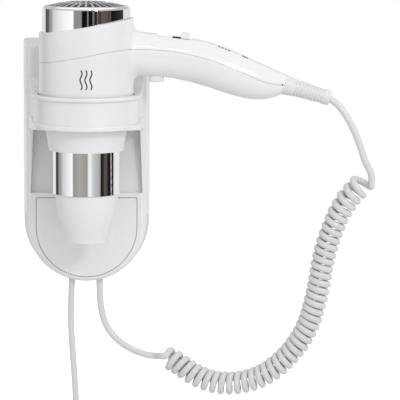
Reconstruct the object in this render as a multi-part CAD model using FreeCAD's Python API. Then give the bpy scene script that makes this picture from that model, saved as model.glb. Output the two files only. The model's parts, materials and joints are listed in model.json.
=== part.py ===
"""Wall-mounted hair dryer: a handset with a side handle, standing in the ring of its wall unit.

Millimetres. +Z is up, +X points along the handle, and the wall is the plane y = 0 with the room on
its -Y side. The origin is the middle of the wall screws, on the wall.
"""
import FreeCAD
import Part
import math
import os

os.makedirs("parts", exist_ok=True)

# wall unit
UNIT_TOP = 107.3              # half of the unit's height
UNIT_HALF_WIDTH = 55.2        # at the wall
UNIT_FACE_HALF_WIDTH = 51.6   # at the front face, before its edge is rounded
UNIT_DEPTH = 28.0
UNIT_SKIN = 2.5
SCREW_X, SCREW_Z = 30.0, 75.0  # wall screws, from the middle
RECESS_TOP, RECESS_BOTTOM = 31.5, -25.5
PANEL_HALF_WIDTH, PANEL_TOP, PANEL_BOTTOM = 43.5, -30.0, -99.5
PANEL_GAP = 0.6
COVER_SCREWS = ((-36.5, -37.0), (36.5, -37.0), (0.0, -80.0))

# ring of the wall unit
RING_LOW, RING_HIGH = 37.8, 64.9
RING_OUTER, RING_LIP = 44.0, 2.3
RING_BORE, RING_SEAT = 41.0, 36.3
ARM_START_Y, ARM_END_Y = -52.0, -24.0   # where the ring's sides start to spread, and where they end
ARM_REACH = 51.4                        # half width at that end
SWEEP_START_Y, SWEEP_TOP = -43.0, 80.9  # where the upper rim starts to curve up, and how high it gets
MAINS_GLAND_X, SPIRAL_GLAND_X = -13.1, 11.2

# handset barrel: its upright axis stands this far from the wall
AXIS_Y = -71.0
BARREL_R = 39.6
SHELL = 2.0
RIM_Z, RIM_SLOPE = 122.7, 0.166
SHOULDER_Z, TAPER_Z = 48.5, 38.0
TAPER_TOP_R, TAPER_LOW_R = 34.6, 31.8
BAND_HIGH, BAND_LOW, BAND_R = 18.0, -18.7, 28.6
SPIGOT_R, SPIGOT_BORE = 27.5, 26.0
CAP_R, CAP_HIGH, CAP_LOW = 36.9, 138.8, 112.4
DOME_R, DOME_EDGE, DOME_TOP = 33.3, 138.6, 143.0

# nozzle
NOZZLE_LOW = -60.5
NOZZLE_HALF_X, NOZZLE_HALF_Y = 17.7, 15.6
NOZZLE_SKIN = 1.8

# handle sections: x, middle height, half height, half depth, forward lean in degrees
HANDLE = (
    (17.1, 98.8, 18.6, 15.6, 0),
    (44.1, 99.0, 18.6, 15.6, 0),
    (69.2, 96.8, 18.0, 15.2, 0),
    (99.2, 90.9, 19.0, 15.4, 0),
    (124.3, 82.7, 18.7, 14.8, 0),
    (146.3, 75.9, 15.2, 12.6, 4.0),
    (157.4, 73.9, 12.0, 10.4, 9.0),
    (166.4, 73.4, 8.8, 8.6, 16.4),
)
NECK_BLEND = 7.0
PARTING = ((-45.8, 90.0), (-20.8, 95.0), (-0.9, 98.7), (19.1, 102.4), (41.1, 103.6), (72.1, 101.6), (103.2, 94.9),
           (135.3, 82.4), (151.3, 75.9), (171.4, 74.4))
PARTING_GAP = 0.30

# switches on the handle
TRACK_START, TRACK_END = 59.0, 89.0
TRACK_Z, TRACK_SLOPE = 111.3, -6.3   # height at the knob, and slope in degrees
KNOB_X, KNOB_TRAVEL = 82.8, 7.0
TRIGGER_X = 58.8

# strain relief
BOOT_START = FreeCAD.Vector(166.5, AXIS_Y, 73.4)
BOOT_TILT = 16.4
BOOT_LENGTH = 40.6

# cords
SPIRAL_D, COIL_D = 5.8, 21.0
MAINS_D = 5.6
MAINS_RING_R, MAINS_TURNS = 33.0, 6
HANDSET_TAIL = ((207.2, -71.2, 61.0), (216.1, -74.0, 53.4), (227.2, -77.2, 33.0), (236.5, -80.0, 5.1),
                (236.0, -79.7, -18.4))
COIL_ROUTE = ((231.1, -78.4, -11.1), (213.3, -73.2, -32.1), (201.4, -69.6, -68.2),
              (196.9, -68.2, -106.3), (185.3, -64.6, -146.4), (158.6, -56.6, -180.6),
              (128.7, -47.8, -192.4), (99.7, -39.3, -189.6), (72.0, -31.2, -169.9))
BASE_TAIL = ((11.3, -14.0, -89.9), (11.2, -14.0, -109.9), (12.4, -14.2, -131.9), (18.3, -15.6, -149.9),
             (32.4, -19.6, -163.2), (53.5, -25.5, -171.5), (73.0, -31.5, -168.9))
MAINS_ROUTE = ((-12.6, -14.0, -88.1), (-13.4, -14.0, -112.1), (-14.3, -14.0, -144.1),
               (-11.2, -14.0, -186.1), (-9.1, -14.0, -222.1), (-8.8, -14.0, -250.1))
PLUG_PIN_R, PLUG_PIN_GAP, PLUG_PIN_LENGTH = 2.4, 19.0, 19.0


def vec(x, y, z):
    return FreeCAD.Vector(x, y, z)


def save(name, shape):
    shape.exportStep("parts/" + name + ".step")


def box(x0, x1, y0, y1, z0, z1):
    return Part.makeBox(x1 - x0, y1 - y0, z1 - z0, vec(x0, y0, z0))


def rod(r, z0, z1, x=0.0, y=AXIS_Y):
    return Part.makeCylinder(r, z1 - z0, vec(x, y, z0))


def tube(outer, inner, z0, z1, x=0.0, y=AXIS_Y):
    return rod(outer, z0, z1, x, y).cut(rod(inner, z0 - 1, z1 + 1, x, y))


def rod_y(r, y0, y1, x, z):
    return Part.makeCylinder(r, y1 - y0, vec(x, y0, z), vec(0, 1, 0))


def fused(shapes):
    whole = shapes[0]
    for shape in shapes[1:]:
        whole = whole.fuse(shape)
    return whole.removeSplitter()


def revolved(points, x=0.0, y=AXIS_Y):
    """A solid of revolution about an upright axis, from (radius, z) points."""
    ring = [vec(x + r, y, z) for r, z in points]
    face = Part.Face(Part.makePolygon(ring + [ring[0]]))
    return face.revolve(vec(x, y, 0), vec(0, 0, 1), 360)


def edges_where(shape, test):
    return [e for e in shape.Edges if test(e.BoundBox)]


def route_wire(points, report=""):
    """Straight runs joined by tangent arcs; each arc takes 0.45 of the shorter run beside it."""
    pts = [vec(*p) for p in points]
    pieces = []
    start = pts[0]
    radii = []
    for before, corner, after in zip(pts, pts[1:], pts[2:]):
        back = before - corner
        ahead = after - corner
        cut = 0.45 * min(back.Length, ahead.Length)
        a = corner + back.normalize() * cut
        b = corner + ahead.normalize() * cut
        half_turn = (math.pi - back.getAngle(ahead)) / 2
        radius = cut / math.tan(half_turn)
        radii.append(radius)
        inward = (back + ahead).normalize()
        middle = corner + inward * (radius / math.cos(half_turn) - radius)
        pieces.append(Part.makeLine(start, a))
        pieces.append(Part.Arc(a, middle, b).toShape())
        start = b
    pieces.append(Part.makeLine(start, pts[-1]))
    wire = Part.Wire(pieces)
    if report:
        print(report, "length", round(wire.Length, 1), "smallest bend", round(min(radii), 1))
    return wire


def swept(points, diameter, report=""):
    """A round tube along a route."""
    wire = route_wire(points, report)
    start = vec(*points[0])
    circle = Part.makeCircle(diameter / 2, start, vec(*points[1]) - start)
    solid = wire.makePipeShell([Part.Wire(circle)], True, False)
    if report:
        wanted = math.pi * diameter ** 2 / 4 * wire.Length
        print(report, "volume ratio", round(solid.Volume / wanted, 4))
    return solid


# ---------------------------------------------------------------- wall unit

def arch_wire(half_width, top, bottom, y, corner):
    """An upright outline: straight top with rounded corners, half-round bottom."""
    low = bottom + half_width
    w = half_width
    c = corner
    k = c * (1 - math.sqrt(0.5))
    return Part.Wire([
        Part.makeLine(vec(-w + c, y, top), vec(w - c, y, top)),
        Part.Arc(vec(w - c, y, top), vec(w - k, y, top - k), vec(w, y, top - c)).toShape(),
        Part.makeLine(vec(w, y, top - c), vec(w, y, low)),
        Part.Arc(vec(w, y, low), vec(0, y, bottom), vec(-w, y, low)).toShape(),
        Part.makeLine(vec(-w, y, low), vec(-w, y, top - c)),
        Part.Arc(vec(-w, y, top - c), vec(-w + k, y, top - k), vec(-w + c, y, top)).toShape(),
    ])


def arch_prism(half_width, top, bottom, y0, y1, corner):
    face = Part.Face(arch_wire(half_width, top, bottom, y0, corner))
    return face.extrude(vec(0, y1 - y0, 0))


def unit_block(skin):
    """The wall unit's outer form, taken in by skin."""
    draft = UNIT_HALF_WIDTH - UNIT_FACE_HALF_WIDTH
    front = -UNIT_DEPTH + skin
    back = 0.0 if skin == 0 else 1.0
    at_wall = arch_wire(UNIT_HALF_WIDTH - skin, UNIT_TOP - skin, -UNIT_TOP + skin, back, 3.0)
    at_face = arch_wire(UNIT_FACE_HALF_WIDTH - skin, UNIT_TOP - draft - skin, -UNIT_TOP + draft + skin,
                        front, 6.0)
    block = Part.makeLoft([at_wall, at_face], True, True)
    rim = edges_where(block, lambda b: b.YMax < front + 0.01)
    return block.makeFillet(5.0 - skin, rim)


def recess(grow):
    """The scoop under the ring; grow adds the skin that lines it."""
    top = RECESS_TOP + grow
    low = RECESS_BOTTOM - grow
    outline = [vec(-48.6 - grow, -40, low), vec(48.6 + grow, -40, low),
               vec(46.2 + grow, -40, top), vec(-46.2 - grow, -40, top)]
    arch = Part.Face(Part.makePolygon(outline + [outline[0]])).extrude(vec(0, 35, 0))
    arch = arch.makeFillet(5.0 + grow, edges_where(arch, lambda b: b.ZMin > top - 0.01 and b.XLength < 0.01))
    side = [vec(-60, -41, low), vec(-60, -41, top), vec(-60, -13 + grow, top), vec(-60, -22 + grow, low)]
    slab = Part.Face(Part.makePolygon(side + [side[0]])).extrude(vec(120, 0, 0))
    return arch.common(slab)


def ring_prism(radius, reach, z0, z1):
    """Half round at the front, with sides that spread to reach at the wall unit's edges."""
    run = ARM_END_Y - ARM_START_Y
    spread = reach - radius
    bend = (run ** 2 + spread ** 2) / (2 * spread)
    half_angle = math.asin(run / bend) / 2
    mid_x = radius + bend * (1 - math.cos(half_angle))
    mid_y = ARM_START_Y + bend * math.sin(half_angle)
    wire = Part.Wire([
        Part.Arc(vec(-radius, AXIS_Y, z0), vec(0, AXIS_Y - radius, z0), vec(radius, AXIS_Y, z0)).toShape(),
        Part.makeLine(vec(radius, AXIS_Y, z0), vec(radius, ARM_START_Y, z0)),
        Part.Arc(vec(radius, ARM_START_Y, z0), vec(mid_x, mid_y, z0), vec(reach, ARM_END_Y, z0)).toShape(),
        Part.makeLine(vec(reach, ARM_END_Y, z0), vec(-reach, ARM_END_Y, z0)),
        Part.Arc(vec(-reach, ARM_END_Y, z0), vec(-mid_x, mid_y, z0), vec(-radius, ARM_START_Y, z0)).toShape(),
        Part.makeLine(vec(-radius, ARM_START_Y, z0), vec(-radius, AXIS_Y, z0)),
    ])
    return Part.Face(wire).extrude(vec(0, 0, z1 - z0))


def below_rim(level):
    """Everything below a level that curves up close to the wall unit."""
    radius = SWEEP_TOP - level
    k = radius * math.sqrt(0.5)
    y0 = SWEEP_START_Y
    wire = Part.Wire([
        Part.makeLine(vec(-60, -130, 20), vec(-60, -130, level)),
        Part.makeLine(vec(-60, -130, level), vec(-60, y0, level)),
        Part.Arc(vec(-60, y0, level), vec(-60, y0 + k, SWEEP_TOP - k), vec(-60, y0 + radius, SWEEP_TOP)).toShape(),
        Part.makeLine(vec(-60, y0 + radius, SWEEP_TOP), vec(-60, -10, SWEEP_TOP)),
        Part.makeLine(vec(-60, -10, SWEEP_TOP), vec(-60, -10, 20)),
        Part.makeLine(vec(-60, -10, 20), vec(-60, -130, 20)),
    ])
    return Part.Face(wire).extrude(vec(120, 0, 0))


def above_foot():
    """Everything above the ring's lower edge, which falls a little towards the wall unit."""
    side = [vec(-60, -130, RING_LOW), vec(-60, -108.5, RING_LOW), vec(-60, -10, 29.7),
            vec(-60, -10, 120), vec(-60, -130, 120)]
    return Part.Face(Part.makePolygon(side + [side[0]])).extrude(vec(120, 0, 0))


def make_ring():
    """A tall band with a lip round its upper and lower edge, both running out into the wall unit."""
    rim = below_rim(RING_HIGH)
    band = ring_prism(RING_OUTER, ARM_REACH - 0.4, 25, 85).common(rim)
    whole = ring_prism(RING_OUTER + RING_LIP, ARM_REACH, 25, 85)
    upper = whole.common(rim).cut(below_rim(RING_HIGH - 3.3))
    foot = above_foot()
    lower = whole.common(box(-60, 60, -130, 0, 20, RING_LOW + 3.7)).common(foot)
    upper = upper.makeFillet(1.3, edges_where(upper, lambda b: b.YMin < AXIS_Y - RING_OUTER))
    lower = lower.makeFillet(1.3, edges_where(lower, lambda b: b.ZMin > RING_LOW + 3.6
                                              and b.YMin < ARM_END_Y - 1))
    return fused([band.common(foot), upper, lower])


def ring_bore():
    """What is taken out of the ring: a snug seat below and a wide throat above."""
    return revolved(((0, 25), (RING_SEAT, 25), (RING_SEAT, 42), (RING_BORE, SHOULDER_Z), (RING_BORE, 90), (0, 90)))


def arm_cores():
    """The hollow behind the ring's band, between its sides and its bore."""
    core = ring_prism(RING_OUTER - 2.5, ARM_REACH - 3.5, RING_LOW + 2.5, RING_HIGH - 3)
    return core.cut(rod(RING_BORE + 2.0, 20, 90))


def panel_prism(grow, y0, y1):
    return arch_prism(PANEL_HALF_WIDTH + grow, PANEL_TOP + grow, PANEL_BOTTOM - grow, y0, y1, 1.5)


def screw_y(x, z, head_y, length, head_r=2.8, shank_r=1.5):
    """A pan-head screw driven towards the wall; head_y is the face its head rests on."""
    head = rod_y(head_r, head_y - 1.8, head_y, x, z)
    slot = box(x - 0.4, x + 0.4, head_y - 1.9, head_y - 1.0, z - 2.2, z + 2.2)
    cross = box(x - 2.2, x + 2.2, head_y - 1.9, head_y - 1.0, z - 0.4, z + 0.4)
    return head.cut(slot).cut(cross).fuse(rod_y(shank_r, head_y, head_y + length, x, z))


def gland(x, cord_d):
    """A grommet in the foot of the cover, held by a flange on its inside."""
    body = fused([rod(cord_d / 2 + 1.2, -103.2, -97.4, x, -14.0), rod(cord_d / 2 + 2.2, -98.9, -97.4, x, -14.0)])
    return body.cut(rod(cord_d / 2, -110, -90, x, -14.0))


def make_wall_unit():
    glands = {"mains_gland": (MAINS_GLAND_X, MAINS_D), "spiral_gland": (SPIRAL_GLAND_X, SPIRAL_D)}
    block = fused([unit_block(0), make_ring()])
    hollow = unit_block(UNIT_SKIN).cut(recess(UNIT_SKIN))
    cover = block.cut(hollow).cut(arm_cores()).cut(recess(0)).cut(ring_bore())
    cover = cover.cut(panel_prism(PANEL_GAP, -40, -20))
    ledge = panel_prism(4, -25.7, -23.6).cut(panel_prism(-6, -30, -20))
    cover = cover.fuse(ledge.common(unit_block(0)))
    for x, z in COVER_SCREWS:
        cover = cover.fuse(rod_y(4.5, -25.7, -9, x, z))
    for x, z in COVER_SCREWS:
        cover = cover.cut(rod_y(1.7, -30, 0, x, z)).cut(rod_y(3.1, -26, -23.0, x, z))
    for name, (x, d) in glands.items():
        cover = cover.cut(rod(d / 2 + 1.25, -112, -95, x, -14.0))
        save(name, gland(x, d))
    save("holder_cover", cover.removeSplitter())

    plate = arch_prism(UNIT_HALF_WIDTH - UNIT_SKIN - 1.0, UNIT_TOP - UNIT_SKIN - 1.0,
                       -UNIT_TOP + UNIT_SKIN + 1.0, -3.0, 0.0, 2.0)
    for x, z in COVER_SCREWS:
        plate = plate.fuse(rod_y(4.0, -9, -2.5, x, z)).cut(rod_y(1.5, -9.5, 1, x, z))
    for x in (-SCREW_X, SCREW_X):
        for z in (-SCREW_Z, SCREW_Z):
            plate = plate.cut(rod_y(2.5, -4, 1, x, z))
    save("wall_plate", plate.removeSplitter())

    panel = panel_prism(0, -UNIT_DEPTH, -25.9)
    for x, z in ((-20, -38), (20, -38), (-30, -70), (30, -70)):
        panel = panel.fuse(box(x - 4, x + 4, -26.5, -19, z - 0.8, z + 0.8))
    save("lower_panel", panel.removeSplitter())

    save("cover_screws", Part.makeCompound([screw_y(x, z, -23.0, 19.5) for x, z in COVER_SCREWS]))

    block = box(-18, 18, -16, -3.0, -66, -52)
    for i in range(3):
        x = -12 + 12 * i
        block = block.cut(box(x - 3, x + 3, -17, -9, -64, -60)).cut(rod_y(2.2, -17, -8, x, -56))
    save("terminal_block", block)

    clamps = {"cord_clamp_mains": (-12.7, MAINS_D), "cord_clamp_spiral": (11.3, SPIRAL_D)}
    screws = []
    for name, (x, d) in clamps.items():
        saddle = box(x - 8, x + 8, -14 - d / 2 - 2, -3.0, -95.5, -88.5)
        saddle = saddle.cut(rod(d / 2, -97, -87, x, -14.0))
        for side in (-5.8, 5.8):
            saddle = saddle.cut(rod_y(1.2, -20, -3.0, x + side, -92))
            screws.append(rod_y(1.2, -14 - d / 2 - 2, -3.0, x + side, -92))
            screws.append(rod_y(2.0, -15.4 - d / 2 - 2, -14 - d / 2 - 2, x + side, -92))
        save(name, saddle)
    pairs = [screws[i].fuse(screws[i + 1]) for i in range(0, len(screws), 2)]
    save("clamp_screws", Part.makeCompound(pairs))


# ---------------------------------------------------------------- handset housing

def ellipse_x(x, y, z, half_height, half_depth, lean):
    """An ellipse in a plane across the handle, leaning forward by some degrees."""
    edge = Part.Ellipse(vec(0, 0, 0), half_height, half_depth).toShape()
    edge.Placement = FreeCAD.Placement(vec(x, y, z), FreeCAD.Rotation(vec(0, 1, 0), 90 + lean))
    return Part.Wire(edge)


def handset_block(skin):
    """The housing's outer form, taken in by skin: barrel, shoulder, taper and handle."""
    barrel = revolved(((0, TAPER_Z), (TAPER_TOP_R - skin, TAPER_Z), (TAPER_TOP_R + 0.4 - skin, 42),
                       (BARREL_R - skin, SHOULDER_Z), (BARREL_R - skin, 136), (0, 136)))
    sections = [ellipse_x(x, AXIS_Y, z, h - skin, d - skin, lean) for x, z, h, d, lean in HANDLE]
    handle = Part.makeLoft(sections, True, False)
    whole = barrel.fuse(handle)
    seam = edges_where(whole, lambda b: b.XMin > 30 and b.XMax < 44 and b.ZMin > 70 and b.ZMax < 125
                       and b.YLength > 5)
    return whole.makeFillet(NECK_BLEND + skin, seam)


def above_parting(drop):
    """Everything above the seam between the two housings, lowered by drop."""
    curve = Part.BSplineCurve()
    curve.interpolate([vec(x, AXIS_Y - 60, z - drop) for x, z in PARTING])
    first, last = curve.StartPoint, curve.EndPoint
    corners = [last, vec(last.x + 20, last.y, last.z), vec(last.x + 20, last.y, 160),
               vec(first.x - 20, first.y, 160), vec(first.x - 20, first.y, first.z), first]
    edges = [curve.toShape()] + [Part.makeLine(a, b) for a, b in zip(corners, corners[1:])]
    return Part.Face(Part.Wire(edges)).extrude(vec(0, 120, 0))


def above_rim():
    slope = RIM_SLOPE * 60
    side = [vec(-60, AXIS_Y - 60, RIM_Z - slope), vec(60, AXIS_Y - 60, RIM_Z + slope),
            vec(60, AXIS_Y - 60, 170), vec(-60, AXIS_Y - 60, 170)]
    return Part.Face(Part.makePolygon(side + [side[0]])).extrude(vec(0, 120, 0))


def track_frame(shape):
    """Moves a shape drawn level at the knob's track onto the sloping track."""
    turned = shape.copy()
    turned.rotate(vec(KNOB_X, AXIS_Y, TRACK_Z), vec(0, 1, 0), -TRACK_SLOPE)
    return turned


def boot_frame(shape):
    """Moves a shape drawn along +Z from the origin onto the strain relief's axis."""
    turned = shape.copy()
    turned.Placement = FreeCAD.Placement(BOOT_START, FreeCAD.Rotation(vec(0, 1, 0), 90 + BOOT_TILT))
    return turned


def make_boot():
    """A plain root, fine ribs and a plain end."""
    root, end, ribs, depth = 9.0, 34.6, 10, 0.6
    pitch = (end - root) / ribs
    profile = [(0, -5), (6.4, -5), (6.4, -3), (5.0, -3), (5.0, 0), (8.5, 0), (7.5, root)]
    for i in range(ribs):
        z = root + pitch * i
        r = 7.3 - 1.0 * i / (ribs - 1)
        profile += [(r - depth, z + 0.15 * pitch), (r - depth, z + 0.4 * pitch), (r, z + 0.6 * pitch),
                    (r - 0.05, z + pitch)]
    profile += [(6.5, end + 0.3), (6.3, BOOT_LENGTH - 0.5), (5.8, BOOT_LENGTH), (0, BOOT_LENGTH)]
    return boot_frame(revolved(profile, 0, 0))


def handle_boss(x, z0, z1, r):
    return rod(r, z0, z1, x, AXIS_Y)


def make_housings(boot):
    outer = handset_block(0)
    hollow = handset_block(SHELL)
    shell = outer.cut(hollow).cut(above_rim())
    groove = outer.cut(handset_block(1.0)).common(above_parting(PARTING_GAP).cut(above_parting(0)))
    upper_zone = above_parting(0)
    bosses = [(103.2, 3.6), (145.3, 3.2)]

    rear = shell.common(upper_zone)
    pad = track_frame(box(TRACK_START - 3, TRACK_END + 4, AXIS_Y - 12, AXIS_Y + 12, TRACK_Z - 2.4, TRACK_Z + 3))
    rear = rear.fuse(pad.common(outer))
    for x, r in bosses:
        rear = rear.fuse(handle_boss(x, 60, 130, r).common(outer).common(upper_zone))
    rear = rear.cut(track_frame(box(TRACK_START, TRACK_END, AXIS_Y - 16, AXIS_Y + 16, TRACK_Z, TRACK_Z + 9)))
    rear = rear.cut(track_frame(box(71, 87.6, AXIS_Y - 2, AXIS_Y + 2, TRACK_Z - 6, TRACK_Z + 1)))

    front = shell.cut(upper_zone).cut(groove)
    for x, r in bosses:
        front = front.fuse(handle_boss(x, 50, 130, r).common(outer).cut(above_parting(PARTING_GAP)))
    nose = revolved(((TAPER_LOW_R, BAND_HIGH), (TAPER_TOP_R, TAPER_Z + 0.01), (TAPER_TOP_R - SHELL, TAPER_Z + 0.01),
                     (SPIGOT_BORE, BAND_HIGH + 4), (SPIGOT_BORE, BAND_LOW), (SPIGOT_R, BAND_LOW),
                     (SPIGOT_R, BAND_HIGH)))
    front = front.cut(rod(SPIGOT_BORE + 4, TAPER_Z - 1, TAPER_Z + SHELL + 0.5)).fuse(nose)
    front = front.cut(trigger_hole(0.35))
    screws = []
    for x, r in bosses:
        z_head = handle_bottom(x) + 3.0
        front = front.cut(rod(1.6, 40, 130, x)).cut(rod(2.8, 40, z_head, x))
        rear = rear.cut(rod(1.4, 40, z_head + 20, x))
        screws.append(rod(2.6, z_head - 2, z_head, x).fuse(rod(1.4, z_head, z_head + 18, x)))
    save("rear_housing", rear.cut(boot).removeSplitter())
    save("front_housing", front.cut(boot).removeSplitter())
    save("housing_screws", Part.makeCompound(screws))


def handle_bottom(x):
    """Height of the handle's underside at x."""
    for (x0, z0, h0, _, _), (x1, z1, h1, _, _) in zip(HANDLE, HANDLE[1:]):
        if x0 <= x <= x1:
            t = (x - x0) / (x1 - x0)
            return (z0 - h0) * (1 - t) + (z1 - h1) * t
    return 0.0


def oval(half_x, half_y, x, z0, z1):
    face = Part.Face(Part.Wire(Part.Ellipse(vec(x, AXIS_Y, z0), half_x, half_y).toShape()))
    return face.extrude(vec(0, 0, z1 - z0))


def trigger_hole(gap):
    return oval(6.5 + gap, 4.6 + gap, TRIGGER_X, 70, 86)


def make_switches():
    knob_low = track_frame(box(KNOB_X - 3.8, KNOB_X + 3.8, AXIS_Y - 4.5, AXIS_Y + 4.5, TRACK_Z + 0.3, TRACK_Z + 1.2))
    grip = Part.makeLoft([
        Part.makePolygon([vec(KNOB_X + sx * 3.8, AXIS_Y + sy * 4.5, TRACK_Z + 1.2)
                          for sx, sy in ((-1, -1), (1, -1), (1, 1), (-1, 1), (-1, -1))]),
        Part.makePolygon([vec(KNOB_X - 0.2 + sx * 3.0, AXIS_Y + sy * 4.0, TRACK_Z + 5.6)
                          for sx, sy in ((-1, -1), (1, -1), (1, 1), (-1, 1), (-1, -1))])], True, True)
    stem = box(KNOB_X - 2.5, KNOB_X + 2.5, AXIS_Y - 1.6, AXIS_Y + 1.6, TRACK_Z - 5.5, TRACK_Z + 1)
    knob = fused([knob_low, track_frame(grip), track_frame(stem)])
    top = edges_where(knob, lambda b: b.ZMin > TRACK_Z + 5.0)
    save("speed_switch_knob", knob.makeFillet(0.7, top))
    save("slot_shield", track_frame(box(KNOB_X - 10.6, KNOB_X - 3.8, AXIS_Y - 4.0, AXIS_Y + 4.0,
                                        TRACK_Z + 0.3, TRACK_Z + 1.1)))

    body = track_frame(box(69, 91, AXIS_Y - 6, AXIS_Y + 6, TRACK_Z - 13, TRACK_Z - 2.5))
    body = body.cut(track_frame(box(72, 89, AXIS_Y - 2.2, AXIS_Y + 2.2, TRACK_Z - 7, TRACK_Z)))
    save("speed_switch_body", body)

    button = oval(6.5, 4.6, TRIGGER_X, 75.2, 86.0)
    button = button.makeFillet(1.8, edges_where(button, lambda b: b.ZMax < 75.3))
    save("trigger_button", button.fuse(oval(7.8, 5.4, TRIGGER_X, 84.3, 85.3)).removeSplitter())
    save("trigger_switch", fused([box(51, 68, AXIS_Y - 3.2, AXIS_Y + 3.2, 90.0, 96.5),
                                  box(57.5, 61.5, AXIS_Y - 1.5, AXIS_Y + 1.5, 88.9, 90.0)]))

    wires = []
    for side in (-1, 1):
        wires.append(swept(((160, AXIS_Y + side * 2.4, 74.0), (149, AXIS_Y + side * 5.6, 76.9),
                            (123, AXIS_Y + side * 6.0, 84.0), (103, AXIS_Y + side * 6.0, 92.4),
                            (92, AXIS_Y + side * 4.0, 98.8)), 2.2))
    save("lead_wires", Part.makeCompound(wires))


# ---------------------------------------------------------------- handset insides

def make_rear_end():
    cap = revolved(((CAP_R, CAP_LOW + 3), (CAP_R, CAP_HIGH), (33.6, CAP_HIGH), (33.6, CAP_HIGH - 2),
                    (35.1, CAP_HIGH - 3.4), (35.1, CAP_LOW), (37.5, CAP_LOW), (37.5, CAP_LOW + 3)))
    edge = edges_where(cap, lambda b: b.ZMin > CAP_HIGH - 0.01 and b.XMax > CAP_R - 0.1)
    save("chrome_rear_cap", cap.makeFillet(3.2, edge))

    rise = DOME_TOP - DOME_EDGE
    sphere_r = (DOME_R ** 2 + rise ** 2) / (2 * rise)
    centre = vec(0, AXIS_Y, DOME_TOP - sphere_r)
    dome = Part.makeSphere(sphere_r, centre).cut(Part.makeSphere(sphere_r - 2.6, centre))
    dome = dome.common(rod(DOME_R, DOME_EDGE - 2.6, DOME_TOP + 1))
    slots = []
    for count, r0, r1, w0, w1 in ((32, 19.0, 32.4, 1.2, 2.2), (16, 7.5, 17.0, 0.85, 2.4)):
        for i in range(count):
            wedge = [vec(r0, -w0, 120), vec(r1, -w1, 120), vec(r1, w1, 120), vec(r0, w0, 120)]
            slot = Part.Face(Part.makePolygon(wedge + [wedge[0]])).extrude(vec(0, 0, 30))
            slot.rotate(vec(0, 0, 0), vec(0, 0, 1), 360.0 * (i + 0.5) / count)
            slot.translate(vec(0, AXIS_Y, 0))
            slots.append(slot)
    skirt = tube(DOME_R, 31.6, 134.6, DOME_EDGE - 1.0)
    flange = tube(34.8, 31.6, 133.4, 135.0)
    grille = dome.cut(Part.makeCompound(slots)).fuse(skirt).fuse(flange)
    save("intake_grille", grille.removeSplitter())
    save("lint_filter", rod(34.8, 130.6, 133.2))


def blade(i, count, r0, r1, z0, z1, lean, thick):
    """A leaning flat blade between two radii, the i-th of count."""
    plate = box(r0, r1, -thick / 2, thick / 2, z0, z1)
    plate.rotate(vec(0, 0, (z0 + z1) / 2), vec(1, 0, 0), lean)
    plate.rotate(vec(0, 0, 0), vec(0, 0, 1), 360.0 * i / count)
    plate.translate(vec(0, AXIS_Y, 0))
    return plate


def make_fan_and_motor():
    hub = rod(13.0, 97.0, 111.0).cut(rod(1.0, 90, 120))
    hub = hub.makeFillet(2.5, edges_where(hub, lambda b: b.ZMin > 110.9 and b.XLength > 20))
    blades = [blade(i, 7, 12.0, 36.5, 97.0, 111.0, 38, 1.6) for i in range(7)]
    fan = fused([hub] + blades).common(rod(35.0, 97.0, 111.0)).cut(rod(1.0, 90, 120))
    save("fan_impeller", fan)
    save("motor_shaft", rod(1.0, 58.0, 111.5))

    motor = fused([rod(14.0, 63.0, 93.0), rod(4.5, 93.0, 94.5), rod(4.0, 61.5, 63.0)]).cut(rod(1.05, 50, 100))
    save("motor_body", motor)

    vanes = [blade(i, 6, 15.0, 36.4, 72.0, 86.0, -20, 1.6) for i in range(6)]
    duct = tube(37.4, 35.9, 70.0, 112.2)
    mount = fused([duct, tube(15.8, 14.0, 66.0, 90.0)] + vanes).cut(rod(14.0, 60, 100))
    save("motor_mount", mount.common(rod(37.4, 60, 120)))

    board = rod(15.0, 59.6, 61.2).cut(rod(4.2, 59, 62))
    for x, y in ((9, 5), (9, -5), (-9, 5), (-9, -5)):
        board = board.fuse(rod(1.6, 55.0, 59.8, x, AXIS_Y + y))
    save("rectifier_board", board.removeSplitter())


def make_heater():
    low, high = 0.0, 50.0
    half = 24.6
    cross = fused([box(-half, half, AXIS_Y - 0.4, AXIS_Y + 0.4, low, high),
                   box(-0.4, 0.4, AXIS_Y - half, AXIS_Y + half, low, high)])
    heights = [6.0 + 7.2 * i for i in range(6)]
    for z in heights:
        cross = cross.cut(Part.makeTorus(21.5, 1.5, vec(0, AXIS_Y, z)))
    save("heater_frame", cross)
    save("heater_coils", Part.makeCompound([Part.makeTorus(21.5, 1.2, vec(0, AXIS_Y, z)) for z in heights]))
    save("mica_sleeve", tube(25.5, 24.8, low, high))
    save("thermostat", box(0.4, 11.0, AXIS_Y - 1.4, AXIS_Y - 0.4, 30, 46).fuse(
        Part.makeCylinder(4.0, 4.0, vec(6.5, AXIS_Y - 5.4, 38), vec(0, 1, 0))))
    fuse_body = Part.makeCylinder(1.8, 11.0, vec(-9.0, AXIS_Y + 2.2, 34))
    save("thermal_fuse", fuse_body)

    rings = [tube(r, r - 1.0, -6.5, -4.0) for r in (25.9, 20.0, 14.0, 8.0)]
    spokes = []
    for angle in (0, 60, 120):
        spoke = box(-25.3, 25.3, -0.5, 0.5, -6.5, -4.0)
        spoke.rotate(vec(0, 0, 0), vec(0, 0, 1), angle)
        spoke.translate(vec(0, AXIS_Y, 0))
        spokes.append(spoke)
    save("outlet_grille", fused(rings + spokes))
    save("chrome_front_band", tube(BAND_R, SPIGOT_R, BAND_LOW, BAND_HIGH - 0.1))


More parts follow.
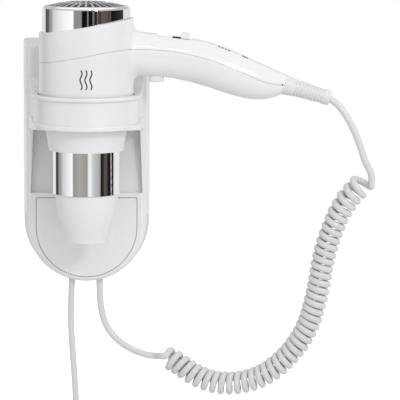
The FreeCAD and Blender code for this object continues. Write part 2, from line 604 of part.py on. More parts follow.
def nozzle_form(skin, low):
    """The nozzle's outer form, taken in by skin: round above, slightly oval at its mouth."""
    levels = ((-19.0, 27.4, 27.4), (-23.0, 26.6, 26.6), (-30.0, 25.4, 25.2), (-38.0, 23.8, 23.2),
              (-49.0, 20.8, 19.4), (low, NOZZLE_HALF_X, NOZZLE_HALF_Y))
    wires = []
    for z, half_x, half_y in levels:
        curve = Part.Ellipse(vec(0, AXIS_Y, z), half_x + 0.001 - skin, half_y - skin)
        wires.append(Part.Wire(curve.toShape()))
    return Part.makeLoft(wires, True, False)


def make_nozzle():
    body = nozzle_form(0, NOZZLE_LOW).cut(nozzle_form(NOZZLE_SKIN, NOZZLE_LOW - 0.5))
    sleeve = tube(SPIGOT_BORE - 0.05, SPIGOT_BORE - 1.3, -20.0, -9.0)
    body = body.cut(rod(SPIGOT_BORE - 1.3, -21.5, -18))
    save("concentrator_nozzle", body.fuse(sleeve).removeSplitter())


# ---------------------------------------------------------------- cords

def make_cords():
    save("spiral_cord_handset_tail", swept(HANDSET_TAIL, SPIRAL_D, "handset tail"))
    save("spiral_cord_coil", swept(COIL_ROUTE, COIL_D, "spiral coil"))
    save("spiral_cord_base_tail", swept(BASE_TAIL, SPIRAL_D, "base tail"))
    save("mains_cord", swept(MAINS_ROUTE, MAINS_D, "mains lead"))

    left = MAINS_ROUTE[-1][0]
    centre_x = left + MAINS_RING_R
    centre_z = -257.0
    first_y = MAINS_ROUTE[-1][1]
    last_y = first_y - MAINS_TURNS * MAINS_D
    half = MAINS_D / 2
    ring = rod_y(MAINS_RING_R + half, last_y - half, first_y + half, centre_x, centre_z)
    ring = ring.cut(rod_y(MAINS_RING_R - half, last_y - half - 1, first_y + half + 1, centre_x, centre_z))
    save("mains_coil", ring)
    outer = box(centre_x + MAINS_RING_R - half - 1.0, centre_x + MAINS_RING_R + half + 1.0,
                last_y - half - 1.0, first_y + half + 1.0, centre_z - 2.5, centre_z + 2.5)
    save("cable_tie", outer.cut(ring))

    save("mains_plug_tail", swept(((left, last_y, centre_z - 6), (left - 1.5, last_y - 0.4, centre_z - 32),
                                   (left, last_y - 0.8, centre_z - 58)), MAINS_D, "plug tail"))
    top = centre_z - 58
    x, y = left, last_y - 0.8
    levels = ((top, 4.6, 4.6), (top - 16, 6.2, 6.0), (top - 24, 12.5, 9.5), (top - 34, 17.5, 12.5),
              (top - 52, 18.0, 13.0))
    wires = []
    for z, half_x, half_y in levels:
        wires.append(Part.Wire(Part.Ellipse(vec(x, y, z), half_x + 0.001, half_y).toShape()))
    body = Part.makeLoft(wires, True, False)
    face = top - 52
    save("plug_body", body.makeFillet(1.5, edges_where(body, lambda b: b.ZMax < face + 0.01)))
    pins = []
    for side in (-0.5, 0.5):
        pin = rod(PLUG_PIN_R, face - PLUG_PIN_LENGTH, face, x + side * PLUG_PIN_GAP, y)
        pins.append(pin.makeFillet(1.2, edges_where(pin, lambda b: b.ZMax < face - PLUG_PIN_LENGTH + 0.01)))
    save("plug_pins", Part.makeCompound(pins))


make_wall_unit()
strain_relief = make_boot()
save("strain_relief_boot", strain_relief)
make_housings(strain_relief)
make_switches()
make_rear_end()
make_fan_and_motor()
make_heater()
make_nozzle()
make_cords()
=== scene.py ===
import json
import math

import bpy
import numpy as np
from mathutils import Matrix, Vector
from mathutils.bvhtree import BVHTree


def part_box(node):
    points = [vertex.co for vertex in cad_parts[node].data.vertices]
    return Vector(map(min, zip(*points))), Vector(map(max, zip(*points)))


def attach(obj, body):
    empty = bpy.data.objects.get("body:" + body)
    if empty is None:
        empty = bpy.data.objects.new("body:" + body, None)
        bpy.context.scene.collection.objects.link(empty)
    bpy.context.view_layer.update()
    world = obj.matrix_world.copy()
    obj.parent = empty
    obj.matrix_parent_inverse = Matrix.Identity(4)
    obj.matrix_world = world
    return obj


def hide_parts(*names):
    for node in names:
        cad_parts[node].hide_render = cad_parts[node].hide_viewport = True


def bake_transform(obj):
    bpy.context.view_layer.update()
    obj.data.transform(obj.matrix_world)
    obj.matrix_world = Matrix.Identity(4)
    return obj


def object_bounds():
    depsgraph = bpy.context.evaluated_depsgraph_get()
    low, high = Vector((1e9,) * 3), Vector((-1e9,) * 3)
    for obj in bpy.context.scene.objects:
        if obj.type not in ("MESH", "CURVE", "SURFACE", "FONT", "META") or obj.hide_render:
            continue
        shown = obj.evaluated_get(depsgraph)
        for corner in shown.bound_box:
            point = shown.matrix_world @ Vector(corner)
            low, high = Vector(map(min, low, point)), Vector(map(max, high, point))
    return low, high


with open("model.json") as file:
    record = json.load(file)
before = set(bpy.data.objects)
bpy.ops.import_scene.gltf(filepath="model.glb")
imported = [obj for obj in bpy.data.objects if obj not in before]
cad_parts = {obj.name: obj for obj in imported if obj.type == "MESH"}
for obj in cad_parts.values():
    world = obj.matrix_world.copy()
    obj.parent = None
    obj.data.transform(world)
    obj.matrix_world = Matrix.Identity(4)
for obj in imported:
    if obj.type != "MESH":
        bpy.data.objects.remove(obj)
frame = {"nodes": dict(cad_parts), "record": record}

CAD_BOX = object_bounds()
NODES = frame["nodes"]


def new_object(name, data):
    thing = bpy.data.objects.new(name, data)
    bpy.context.scene.collection.objects.link(thing)
    return thing


# ------------------------------------------------------------------ camera

CAMERA_AT = (0.01154, -1.66607, 0.21259)
HEADING, TILT, ROLL = math.radians(-3.048), math.radians(81.53), math.radians(0.5)
SENSOR_MM, LENS_MM = 36.0, 171.0
NEAR_CLIP = 0.01


def add_camera():
    """A long lens from a little above, turned slightly to the right."""
    camera = new_object("camera", bpy.data.cameras.new("camera"))
    camera.data.sensor_width = SENSOR_MM
    camera.data.lens = LENS_MM
    camera.data.clip_start = NEAR_CLIP
    camera.location = CAMERA_AT
    camera.rotation_euler = (Matrix.Rotation(HEADING, 3, "Z") @ Matrix.Rotation(TILT, 3, "X")
                             @ Matrix.Rotation(ROLL, 3, "Z")).to_euler()
    bpy.context.scene.camera = camera


add_camera()


# ------------------------------------------------------------------ materials

BUMP_STRENGTH = 0.6
PATCH_EDGES = (0.35, 0.65)


def linked(tree, kind, **values):
    """A node with some of its properties and input values set."""
    node = tree.nodes.new(kind)
    for key, value in values.items():
        if key in node.inputs:
            node.inputs[key].default_value = value
        else:
            setattr(node, key, value)
    return node


def rgba(level):
    """A full colour from a grey level, or from three levels."""
    return (*level, 1.0) if isinstance(level, tuple) else (level, level, level, 1.0)


def surface(name, colour, other, patches, rough, spread, bump, grain, shader=None, kind="noise"):
    """A shader whose colour, roughness and bump vary over the surface.

    patches sets how small the patches of colour and other are, and spread is how far the roughness
    goes either way. bump is the height of the grain in metres, and grain sets how fine it is; the
    grain is noise or cells. shader holds values that are the same all over."""
    material = bpy.data.materials.new(name)
    material.use_nodes = True
    tree = material.node_tree
    main = tree.nodes["Principled BSDF"]
    for key, value in (shader or {}).items():
        main.inputs[key].default_value = value
    place = linked(tree, "ShaderNodeTexCoord")
    cloud = linked(tree, "ShaderNodeTexNoise", Scale=patches, Detail=5.0, Roughness=0.6)
    tree.links.new(place.outputs["Object"], cloud.inputs["Vector"])
    mix = linked(tree, "ShaderNodeMix", data_type="RGBA")
    mix.inputs["A"].default_value = rgba(colour)
    mix.inputs["B"].default_value = rgba(other)
    share = linked(tree, "ShaderNodeMapRange")
    share.inputs["From Min"].default_value, share.inputs["From Max"].default_value = PATCH_EDGES
    tree.links.new(cloud.outputs["Fac"], share.inputs["Value"])
    tree.links.new(share.outputs["Result"], mix.inputs["Factor"])
    tree.links.new(mix.outputs["Result"], main.inputs["Base Color"])
    gloss = linked(tree, "ShaderNodeMapRange")
    gloss.inputs["To Min"].default_value = rough - spread
    gloss.inputs["To Max"].default_value = rough + spread
    tree.links.new(cloud.outputs["Fac"], gloss.inputs["Value"])
    tree.links.new(gloss.outputs["Result"], main.inputs["Roughness"])
    if kind == "noise":
        fine = linked(tree, "ShaderNodeTexNoise", Scale=grain, Detail=3.0)
        height = fine.outputs["Fac"]
    else:
        fine = linked(tree, "ShaderNodeTexVoronoi", Scale=grain)
        height = fine.outputs["Distance"]
    tree.links.new(place.outputs["Object"], fine.inputs["Vector"])
    relief = linked(tree, "ShaderNodeBump", Strength=BUMP_STRENGTH, Distance=bump)
    tree.links.new(height, relief.inputs["Height"])
    tree.links.new(relief.outputs["Normal"], main.inputs["Normal"])
    return material


GLAZE = {"Coat Weight": 0.6, "Coat Roughness": 0.05, "IOR": 1.49}
METAL = {"Metallic": 1.0}
LOOKS = {
    "white_plastic": dict(colour=(0.850, 0.856, 0.868), other=(0.830, 0.836, 0.848), patches=18.0,
                          rough=0.34, spread=0.03, bump=0.00002, grain=260.0, shader=GLAZE),
    "white_rubber": dict(colour=(0.78, 0.778, 0.772), other=(0.75, 0.748, 0.742), patches=60.0,
                         rough=0.42, spread=0.05, bump=0.00001, grain=700.0),
    "white_cord": dict(colour=(0.725, 0.727, 0.73), other=(0.70, 0.702, 0.705), patches=25.0, rough=0.34,
                       spread=0.05, bump=0.000002, grain=400.0,
                       shader={"Coat Weight": 0.2, "Coat Roughness": 0.2}),
    "cable_tie": dict(colour=(0.74, 0.735, 0.72), other=(0.66, 0.655, 0.64), patches=200.0, rough=0.45,
                      spread=0.05, bump=0.00004, grain=2500.0),
    "chrome": dict(colour=(0.95, 0.95, 0.95), other=(0.92, 0.92, 0.92), patches=30.0, rough=0.04,
                   spread=0.01, bump=0.000003, grain=140.0, shader=METAL),
    "silver_plastic": dict(colour=(0.78, 0.78, 0.78), other=(0.70, 0.70, 0.70), patches=60.0, rough=0.18,
                           spread=0.04, bump=0.00001, grain=900.0, shader={"Metallic": 0.9}),
    "filter_foam": dict(colour=(0.46, 0.43, 0.40), other=(0.30, 0.275, 0.25), patches=700.0, rough=0.85,
                        spread=0.05, bump=0.0003, grain=900.0, kind="cells"),
    "dark_plastic": dict(colour=(0.025, 0.025, 0.028), other=(0.04, 0.04, 0.043), patches=120.0,
                         rough=0.5, spread=0.08, bump=0.00004, grain=1500.0),
    "grey_plastic": dict(colour=(0.36, 0.36, 0.37), other=(0.31, 0.31, 0.32), patches=80.0, rough=0.5,
                         spread=0.08, bump=0.00004, grain=1500.0),
    "steel": dict(colour=(0.58, 0.58, 0.57), other=(0.46, 0.46, 0.46), patches=150.0, rough=0.32,
                  spread=0.08, bump=0.00001, grain=1200.0, shader=METAL),
    "brass": dict(colour=(0.72, 0.70, 0.64), other=(0.62, 0.60, 0.54), patches=200.0, rough=0.25,
                  spread=0.06, bump=0.00001, grain=1500.0, shader=METAL),
    "mica": dict(colour=(0.42, 0.33, 0.20), other=(0.30, 0.22, 0.13), patches=260.0, rough=0.45,
                 spread=0.1, bump=0.00008, grain=900.0, kind="cells"),
    "heating_wire": dict(colour=(0.16, 0.14, 0.13), other=(0.26, 0.23, 0.20), patches=500.0, rough=0.45,
                         spread=0.1, bump=0.00002, grain=2500.0, shader=METAL),
    "circuit_board": dict(colour=(0.02, 0.14, 0.05), other=(0.03, 0.18, 0.07), patches=300.0, rough=0.35,
                          spread=0.06, bump=0.00003, grain=1800.0),
    "wire_insulation": dict(colour=(0.10, 0.04, 0.02), other=(0.14, 0.06, 0.03), patches=300.0, rough=0.4,
                            spread=0.05, bump=0.00002, grain=1500.0),
    "print_ink": dict(colour=(0.03, 0.03, 0.032), other=(0.06, 0.06, 0.065), patches=2500.0, rough=0.45,
                      spread=0.05, bump=0.00001, grain=4000.0),
    "floor": dict(colour=(0.93, 0.93, 0.93), other=(0.91, 0.91, 0.91), patches=3.0, rough=0.7,
                  spread=0.05, bump=0.0002, grain=60.0,
                  shader={"Emission Color": (1.0, 1.0, 1.0, 1.0), "Emission Strength": 0.6}),
}
MATERIALS = {name: surface(name, **look) for name, look in LOOKS.items()}

for part in frame["record"]["subparts"]:
    for material_slot in NODES[part["node"]].material_slots:
        material_slot.material = MATERIALS[part["material_slot"]]


# ------------------------------------------------------------------ meshes and curves

def mesh_object(name, verts, faces, material, smooth=True):
    mesh = bpy.data.meshes.new(name)
    mesh.from_pydata([tuple(v) for v in verts], [], faces)
    mesh.materials.append(material)
    for polygon in mesh.polygons:
        polygon.use_smooth = smooth
    mesh.update()
    return new_object(name, mesh)


def nurbs(name, points, resolution):
    """A curve of one smooth line with these control points."""
    curve = bpy.data.curves.new(name, "CURVE")
    curve.dimensions = "3D"
    curve.resolution_u = resolution
    line = curve.splines.new("NURBS")
    line.points.add(len(points) - 1)
    for point, at in zip(line.points, points):
        point.co = (*at, 1.0)
    line.order_u = 3
    line.use_endpoint_u = True
    return curve


def curve_points(curve):
    """Points along a curve with no bevel."""
    carrier = new_object("route_carrier", curve)
    bpy.context.view_layer.update()
    mesh = bpy.data.meshes.new_from_object(carrier)
    points = np.array([v.co for v in mesh.vertices])
    bpy.data.objects.remove(carrier)
    bpy.data.meshes.remove(mesh)
    return points


def along(points):
    """Distance from the first point to each."""
    return np.concatenate([[0.0], np.cumsum(np.linalg.norm(np.diff(points, axis=0), axis=1))])


def even_points(line, step):
    """The same line in equal steps."""
    distance = along(line)
    places = np.linspace(0, distance[-1], round(distance[-1] / step) + 1)
    return np.stack([np.interp(places, distance, line[:, i]) for i in range(3)], axis=1)


def smoothed(line, width):
    """Each point replaced by the mean of its neighbours within this length; the ends stay."""
    step = along(line)[1]
    reach = round(width / 2 / step)
    before = 2 * line[0] - line[reach:0:-1]
    after = 2 * line[-1] - line[-2:-reach - 2:-1]
    padded = np.vstack([before, line, after])
    kernel = np.ones(2 * reach + 1) / (2 * reach + 1)
    return np.stack([np.convolve(padded[:, i], kernel, "valid") for i in range(3)], axis=1)


def eased(share):
    """From 0 to 1 with a soft start and a soft stop."""
    share = np.clip(share, 0, 1)
    return share * share * (3 - 2 * share)


def unit(vectors):
    return vectors / np.linalg.norm(vectors, axis=-1, keepdims=True)


def carried_sides(points, first_side):
    """Two directions across the line at each point, carried along it without twist."""
    tangents = unit(np.gradient(points, axis=0))
    side = np.array(first_side, float)
    sides = []
    for tangent in tangents:
        side = side - tangent * side.dot(tangent)
        side = side / np.linalg.norm(side)
        sides.append(side)
    sides = np.array(sides)
    return sides, np.cross(tangents, sides)


TUBE_SIDES = 20


def tube_mesh(name, line, radius, material):
    """A round closed tube along a line of points."""
    side, other = carried_sides(line, (0.3, 0.5, 0.8))
    turn = np.linspace(0, 2 * np.pi, TUBE_SIDES, endpoint=False)[None, :, None]
    rings = line[:, None] + radius * (np.cos(turn) * side[:, None] + np.sin(turn) * other[:, None])
    verts = np.vstack([rings.reshape(-1, 3), line[:1], line[-1:]])
    first_centre, last_centre = len(verts) - 2, len(verts) - 1
    last_ring = (len(line) - 1) * TUBE_SIDES
    faces = []
    for ring in range(0, last_ring, TUBE_SIDES):
        for j in range(TUBE_SIDES):
            k = (j + 1) % TUBE_SIDES
            faces.append((ring + j, ring + k, ring + TUBE_SIDES + k, ring + TUBE_SIDES + j))
    for j in range(TUBE_SIDES):
        k = (j + 1) % TUBE_SIDES
        faces.append((first_centre, k, j))
        faces.append((last_centre, last_ring + j, last_ring + k))
    return mesh_object(name, verts, faces, material)


# ------------------------------------------------------------------ curly cord

SPIRAL_D = 0.0058
SPIRAL_ACROSS = 0.021
HANDSET_TAIL = ((0.2005, -0.0710, 0.0635), (0.2072, -0.0712, 0.0610), (0.2161, -0.0740, 0.0534),
                (0.2278, -0.0772, 0.0330), (0.2368, -0.0800, 0.0060))
COIL_ROUTE = ((0.2378, -0.0798, -0.0062), (0.2190, -0.0745, -0.0255), (0.2036, -0.0696, -0.0682),
              (0.1992, -0.0682, -0.1063), (0.1886, -0.0646, -0.1464), (0.1600, -0.0566, -0.1806),
              (0.1287, -0.0478, -0.1924), (0.0997, -0.0393, -0.1896), (0.0720, -0.0312, -0.1699))
BASE_TAIL = ((0.0535, -0.0255, -0.1715), (0.0324, -0.0196, -0.1632), (0.0183, -0.0156, -0.1499),
             (0.0124, -0.0142, -0.1319), (0.0112, -0.0140, -0.1099), (0.0113, -0.0140, -0.0899))

# The turns start where the route first passes below START_Z, and end left of END_X in the bottom bend.
START_Z = -0.0085
END_X, BOTTOM_BEND_Z = 0.0705, -0.1
# Distance from turn to turn, at these shares of the wound length.
PITCH_SHARES = (0.0, 0.13, 0.45, 0.62, 1.0)
PITCHES = (0.0086, 0.0068, 0.0062, 0.0069, 0.0070)
LAST_TURN_SHARE = 0.67
# The straight ends come out to the turns over these lengths, and the first turn starts a little wide.
HANDSET_EASE, BASE_EASE = 0.024, 0.012
HOOK_OUT, HOOK_LENGTH = 1.1, 0.006
ROUTE_RESOLUTION = 40
AXIS_STEP, STRAND_STEP, TUBE_STEP = 0.0002, 0.0004, 0.0012
SMOOTHING = 0.004


def curly_cord():
    """One cord: straight from the handset, wound left-handed, straight into the wall unit."""
    route = nurbs("spiral_route", (*HANDSET_TAIL, *COIL_ROUTE, *BASE_TAIL), ROUTE_RESOLUTION)
    axis = even_points(curve_points(route), AXIS_STEP)
    distance = along(axis)
    start = distance[np.argmax(axis[:, 2] < START_Z)]
    end = distance[np.argmax((axis[:, 0] < END_X) & (axis[:, 2] < BOTTOM_BEND_Z))]
    pitch = np.interp((distance - start) / (end - start), PITCH_SHARES, PITCHES)
    wound = (distance > start) & (distance <= end)
    turns = np.cumsum(np.where(wound, np.gradient(distance) / pitch, 0.0))
    turns = turns * (math.floor(turns[-1]) + LAST_TURN_SHARE) / turns[-1]

    radius = (SPIRAL_ACROSS - SPIRAL_D) / 2 * np.clip((distance - start) / HANDSET_EASE + 1, 0, 1) ** 2
    hook = 1 - eased((distance - start) / HOOK_LENGTH)
    radius = radius * (1 + (HOOK_OUT - 1) * hook) * eased((end + BASE_EASE - distance) / BASE_EASE)
    side, other = carried_sides(axis, (1.0, 0.0, 0.0))
    angle = -2 * np.pi * turns[:, None]
    strand = axis + radius[:, None] * (np.cos(angle) * side + np.sin(angle) * other)
    strand = smoothed(even_points(strand, STRAND_STEP), SMOOTHING)
    strand = even_points(strand, TUBE_STEP)
    return tube_mesh("spiral_cord", strand, SPIRAL_D / 2, MATERIALS["white_cord"]), strand


spiral_cord, spiral_line = curly_cord()
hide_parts("spiral_cord_handset_tail", "spiral_cord_coil", "spiral_cord_base_tail")
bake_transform(spiral_cord)


# ------------------------------------------------------------------ mains lead

MAINS_D = 0.0056
MAINS_ROUTE = ((-0.0126, -0.0140, -0.0881), (-0.0134, -0.0140, -0.1121), (-0.0143, -0.0140, -0.1441),
               (-0.0112, -0.0140, -0.1861), (-0.0091, -0.0140, -0.2221), (-0.0088, -0.0140, -0.2501))
MAINS_TURNS, POINTS_A_TURN = 6, 16
# From the left of the coil's last turn, at the height of the coil's middle.
PLUG_TAIL = ((-0.0010, -0.0002, -0.026), (-0.0006, -0.0006, -0.044))
PLUG_END_Y, INTO_PLUG = -0.0008, 0.004
MAINS_RESOLUTION, MAINS_BEVEL_RESOLUTION = 8, 5


def mains_points():
    """The lead down from the wall unit, round the put-away coil and on to the plug."""
    low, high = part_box("mains_coil")
    middle_x, middle_z = (low[0] + high[0]) / 2, (low[2] + high[2]) / 2
    radius = (high[0] - low[0] - MAINS_D) / 2
    first_y, last_y = high[1] - MAINS_D / 2, low[1] + MAINS_D / 2
    plug_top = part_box("plug_body")[1][2]

    points = list(MAINS_ROUTE)
    count = POINTS_A_TURN * MAINS_TURNS
    reach = radius / math.cos(math.pi / POINTS_A_TURN)
    for i in range(count):
        angle = math.pi + 2 * math.pi * (i + 0.5) / POINTS_A_TURN
        depth = first_y + (last_y - first_y) * (i + 0.5) / count
        points.append((middle_x + reach * math.cos(angle), depth, middle_z + reach * math.sin(angle)))
    left = middle_x - radius
    points += [(left + x, last_y + y, middle_z + z) for x, y, z in PLUG_TAIL]
    points.append((left, last_y + PLUG_END_Y, plug_top - INTO_PLUG))
    return points


mains_curve = nurbs("mains_lead", mains_points(), MAINS_RESOLUTION)
mains_length = float(along(curve_points(mains_curve.copy()))[-1])
mains_curve.bevel_depth = MAINS_D / 2
mains_curve.bevel_resolution = MAINS_BEVEL_RESOLUTION
mains_curve.use_fill_caps = True
mains_curve.materials.append(MATERIALS["white_cord"])
mains_lead = new_object("mains_lead", mains_curve)
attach(mains_lead, "wall_unit")
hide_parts("mains_cord", "mains_coil", "mains_plug_tail")


# ------------------------------------------------------------------ printed marks

VIEWED_ALONG = Vector((0.0, 0.989, -0.148))
DRAWN_AT_Y = -0.12
STEP_DOWN = 0.0003
INK_OUT, INK_IN = 0.00006, 0.0003

WAVE_LOW, WAVE_HIGH, WAVE_APART = 0.0730, 0.0890, 0.0040
WAVE_SWAY, WAVE_COUNT, WAVE_WIDTH = 0.0008, 1.5, 0.0011
SPEED_X, SPEED_Z, SPEED_STEP_X, SPEED_STEP_Z = 0.1112, 0.1119, 0.0028, -0.00105
SPEED_LENGTH, SPEED_SLOPE = 0.0017, -0.35
ARC_X, ARC_Z, ARC_LENGTH, ARC_DROP = 0.1308, 0.1049, 0.0046, 0.0026
SPEED_WIDTH = 0.0009
DOT_X, DOT_Z, DOT_SIZE = 0.1645, 0.0798, 0.0012


def surface_of(*nodes):
    """What a ray along VIEWED_ALONG meets first on these CAD nodes; one that misses starts lower."""
    meshes = [NODES[node].data for node in nodes]
    trees = [BVHTree.FromPolygons([v.co for v in mesh.vertices], [p.vertices for p in mesh.polygons])
             for mesh in meshes]

    def meet(x, z):
        hits = [tree.ray_cast(Vector((x, DRAWN_AT_Y, z)), VIEWED_ALONG) for tree in trees]
        found = [hit for hit in hits if hit[0]]
        return min(found, key=lambda hit: hit[3]) if found else meet(x, z - STEP_DOWN)

    return meet


def printed(name, strokes, width, meet):
    """Thin raised strokes on the surface; a stroke is a list of (x, z) places."""
    verts, faces = [], []
    for stroke in strokes:
        centre = np.array(stroke)
        heading = unit(np.gradient(centre, axis=0))
        across = np.stack([-heading[:, 1], heading[:, 0]], axis=1) * width / 2
        first = len(verts)
        for at in np.stack([centre - across, centre + across], axis=1).reshape(-1, 2):
            place, normal = meet(*at)[:2]
            verts += [place + normal * INK_OUT, place - normal * INK_IN]
        for i in range(len(centre) - 1):
            a = first + 4 * i
            b = a + 4
            faces += [(a, a + 2, b + 2, b), (a + 1, b + 1, b + 3, a + 3), (a, b, b + 1, a + 1),
                      (a + 2, a + 3, b + 3, b + 2)]
        last = first + 4 * (len(centre) - 1)
        faces += [(first, first + 1, first + 3, first + 2), (last, last + 2, last + 3, last + 1)]
    mark = mesh_object(name, verts, faces, MATERIALS["print_ink"], smooth=False)
    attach(mark, "handset")


def wave(x):
    """An upright wavy stroke, as on a warm-air symbol."""
    return [(x + WAVE_SWAY * math.sin(2 * math.pi * WAVE_COUNT * t), WAVE_LOW + (WAVE_HIGH - WAVE_LOW) * t)
            for t in np.linspace(0, 1, 25)]


def dash(x, z, length, slope):
    """A short straight stroke about its middle."""
    return [(x + length * t, z + slope * length * t) for t in np.linspace(-0.5, 0.5, 4)]


def arc():
    """A stroke that falls away quickly and then less so."""
    return [(ARC_X + ARC_LENGTH * t, ARC_Z - ARC_DROP * t ** 0.6) for t in np.linspace(0, 1, 9)]


housing = surface_of("front_housing", "rear_housing")
printed("warm_air_symbol", [wave(i * WAVE_APART) for i in (-1, 0, 1)], WAVE_WIDTH, housing)
speed_strokes = [dash(SPEED_X + SPEED_STEP_X * i, SPEED_Z + SPEED_STEP_Z * i, SPEED_LENGTH, SPEED_SLOPE)
                 for i in range(4)]
printed("speed_dashes", speed_strokes, SPEED_WIDTH, housing)
printed("speed_arc", [arc()], SPEED_WIDTH, housing)
printed("seam_dot", [dash(DOT_X, DOT_Z, DOT_SIZE, 0.0)], DOT_SIZE, housing)


# ------------------------------------------------------------------ floor

FLOOR_RADIUS, FLOOR_SIDES, FLOOR_DROP = 2.2, 96, 0.004
FLOOR_BOUNCE = 0.76


def floor():
    """A round floor just below the plug."""
    z = CAD_BOX[0][2] - FLOOR_DROP
    angles = [2 * math.pi * i / FLOOR_SIDES for i in range(FLOOR_SIDES)]
    ring = [(FLOOR_RADIUS * math.cos(angle), FLOOR_RADIUS * math.sin(angle), z) for angle in angles]
    return mesh_object("floor", ring, [tuple(range(FLOOR_SIDES))], MATERIALS["floor"], smooth=False)


def by_ray(tree, ray, seen, otherwise):
    """One shader for this kind of ray, and another for the rest."""
    path = tree.nodes.new("ShaderNodeLightPath")
    choose = tree.nodes.new("ShaderNodeMixShader")
    tree.links.new(path.outputs[ray], choose.inputs["Fac"])
    tree.links.new(otherwise, choose.inputs[1])
    tree.links.new(seen, choose.inputs[2])
    return choose.outputs[0]


def dull_to_object(material):
    """The floor looks white, but sends less light back up, as a floor further down would."""
    tree = material.node_tree
    dull = linked(tree, "ShaderNodeBsdfDiffuse", Color=rgba(FLOOR_BOUNCE))
    shown = by_ray(tree, "Is Camera Ray", tree.nodes["Principled BSDF"].outputs[0], dull.outputs[0])
    tree.links.new(shown, tree.nodes["Material Output"].inputs["Surface"])


floor()
dull_to_object(MATERIALS["floor"])


# ------------------------------------------------------------------ lamps

HANDLE_MIDDLE = Vector((0.09, -0.08, 0.09))


def area_light(name, azimuth, elevation, distance, power, size):
    """A lamp aimed at the handle's middle; azimuth 0 is the front, 90 the right."""
    lamp = bpy.data.lights.new(name, "AREA")
    lamp.energy = power
    lamp.size = size
    light = new_object(name, lamp)
    azimuth, elevation = math.radians(azimuth), math.radians(elevation)
    flat = distance * math.cos(elevation)
    outward = Vector((flat * math.sin(azimuth), -flat * math.cos(azimuth), distance * math.sin(elevation)))
    light.location = HANDLE_MIDDLE + outward
    light.rotation_euler = (-outward).to_track_quat("-Z", "Y").to_euler()


area_light("key", azimuth=25, elevation=25, distance=2.2, power=9.5, size=0.36)
area_light("top_front", azimuth=8.5, elevation=37, distance=2.0, power=0.9, size=0.12)


# ------------------------------------------------------------------ studio

# Each stop is an azimuth in degrees and a grey or a colour: the walls that the chrome cap mirrors, those
# that the chrome band mirrors, and the soft light from the sides.
CAP_WALLS = ((-180, 0.8), (-134, 0.8), (-130, 0.08), (-114, 0.12), (-110, 0.3), (-98, 0.42), (-96, 0.66),
             (-62, 0.95), (-34, 1.1), (-32, 0.28), (-12.5, 0.28), (-10.5, 0.005), (2.5, 0.005),
             (4.3, 0.35), (6.5, 0.005), (15.8, 0.005), (17.5, 0.2), (20, 0.2), (21.5, 0.02), (28, 0.02),
             (29.8, 0.25), (31.5, 0.05), (39, 0.05), (40.5, (0.12, 0.1, 0.08)),
             (59.5, (0.1, 0.08, 0.065)), (61, 0.03), (66, 0.12), (68.5, 0.005), (112, 0.04), (113.5, 0.8))
BAND_WALLS = ((-180, 0.85), (-128, 0.85), (-125, 0.06), (-110, 0.08), (-107, 0.3), (-92, 0.42),
              (-90, 0.6), (-56, 0.95), (-48, 1.0), (-44, 0.30), (-24, (0.42, 0.405, 0.39)),
              (4, (0.34, 0.325, 0.315)), (6.5, 0.85), (15, 0.95), (22, 0.62), (46, 0.42), (49, 0.3),
              (51, 0.012), (61, 0.02), (63, (0.11, 0.085, 0.072)), (76, (0.09, 0.07, 0.06)), (78, 0.01),
              (106, 0.02), (108, 0.85))
SOFT_SIDES = ((-180, (0.70, 0.69, 0.67)), (-90, (0.56, 0.545, 0.53)), (-40, (0.80, 0.79, 0.775)),
              (0, (1.02, 1.02, 1.02)), (50, (0.98, 0.98, 0.985)), (110, (0.84, 0.84, 0.85)),
              (180, (0.70, 0.69, 0.67)))
# Sines of the elevations at which the band's walls, the cap's walls, the upper wall and the ceiling meet.
CAP_FROM, UPPER_FROM, CEILING_FROM = -0.096, 0.208, 0.707
UPPER_WALL, CEILING, SOFT_CEILING = 0.55, 1.0, 0.78
WHITE = 1.0


def bearing_ramp(tree, bearing, stops):
    """Colours by bearing."""
    ramp = tree.nodes.new("ShaderNodeValToRGB")
    tree.links.new(bearing, ramp.inputs["Fac"])
    elements = ramp.color_ramp.elements
    while len(elements) < len(stops):
        elements.new(0.5)
    for element, (azimuth, level) in zip(elements, stops):
        element.position = (azimuth + 180) / 360
        element.color = rgba(level)
    return ramp.outputs["Color"]


def fill(tree, socket, colour):
    """Give a colour socket a grey level or another node's colour."""
    if isinstance(colour, float):
        socket.default_value = rgba(colour)
    else:
        tree.links.new(colour, socket)


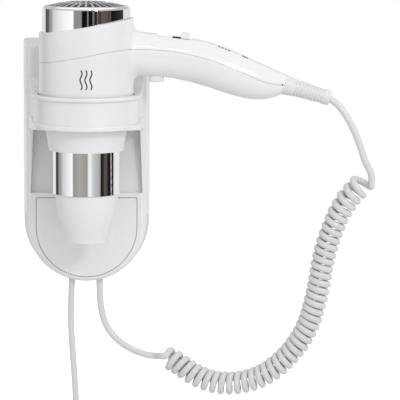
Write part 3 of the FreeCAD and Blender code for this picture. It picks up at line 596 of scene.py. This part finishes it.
def above(tree, height, level, low_colour, high_colour):
    """One colour below a height and another above it."""
    test = linked(tree, "ShaderNodeMath", operation="GREATER_THAN")
    test.inputs[1].default_value = level
    tree.links.new(height, test.inputs[0])
    mix = linked(tree, "ShaderNodeMix", data_type="RGBA")
    tree.links.new(test.outputs[0], mix.inputs["Factor"])
    fill(tree, mix.inputs["A"], low_colour)
    fill(tree, mix.inputs["B"], high_colour)
    return mix.outputs["Result"]


def background(tree, colour):
    light = linked(tree, "ShaderNodeBackground", Strength=1.0)
    fill(tree, light.inputs["Color"], colour)
    return light.outputs[0]


def direction(tree):
    """Each ray's bearing, from 0 to 1 with the front at the middle, and the sine of its elevation."""
    place = tree.nodes.new("ShaderNodeTexCoord")
    split = tree.nodes.new("ShaderNodeSeparateXYZ")
    tree.links.new(place.outputs["Generated"], split.inputs[0])
    front = linked(tree, "ShaderNodeMath", operation="MULTIPLY")
    front.inputs[1].default_value = -1.0
    tree.links.new(split.outputs["Y"], front.inputs[0])
    turn = linked(tree, "ShaderNodeMath", operation="ARCTAN2")
    tree.links.new(split.outputs["X"], turn.inputs[0])
    tree.links.new(front.outputs[0], turn.inputs[1])
    share = linked(tree, "ShaderNodeMapRange")
    share.inputs["From Min"].default_value = -math.pi
    share.inputs["From Max"].default_value = math.pi
    tree.links.new(turn.outputs[0], share.inputs["Value"])
    return share.outputs["Result"], split.outputs["Z"]


def studio_world():
    """Soft light, a little warmer and darker from the left; mirrors see a studio's walls as stripes."""
    world = bpy.data.worlds.new("studio")
    bpy.context.scene.world = world
    world.use_nodes = True
    tree = world.node_tree
    tree.nodes.clear()
    bearing, height = direction(tree)
    walls = above(tree, height, CAP_FROM, bearing_ramp(tree, bearing, BAND_WALLS),
                  bearing_ramp(tree, bearing, CAP_WALLS))
    walls = above(tree, height, UPPER_FROM, walls, UPPER_WALL)
    walls = above(tree, height, CEILING_FROM, walls, CEILING)
    soft = above(tree, height, CEILING_FROM, bearing_ramp(tree, bearing, SOFT_SIDES), SOFT_CEILING)
    shown = by_ray(tree, "Is Glossy Ray", background(tree, walls), background(tree, soft))
    shown = by_ray(tree, "Is Camera Ray", background(tree, WHITE), shown)
    out = tree.nodes.new("ShaderNodeOutputWorld")
    tree.links.new(shown, out.inputs["Surface"])


studio_world()
bpy.context.scene.view_settings.view_transform = "Standard"
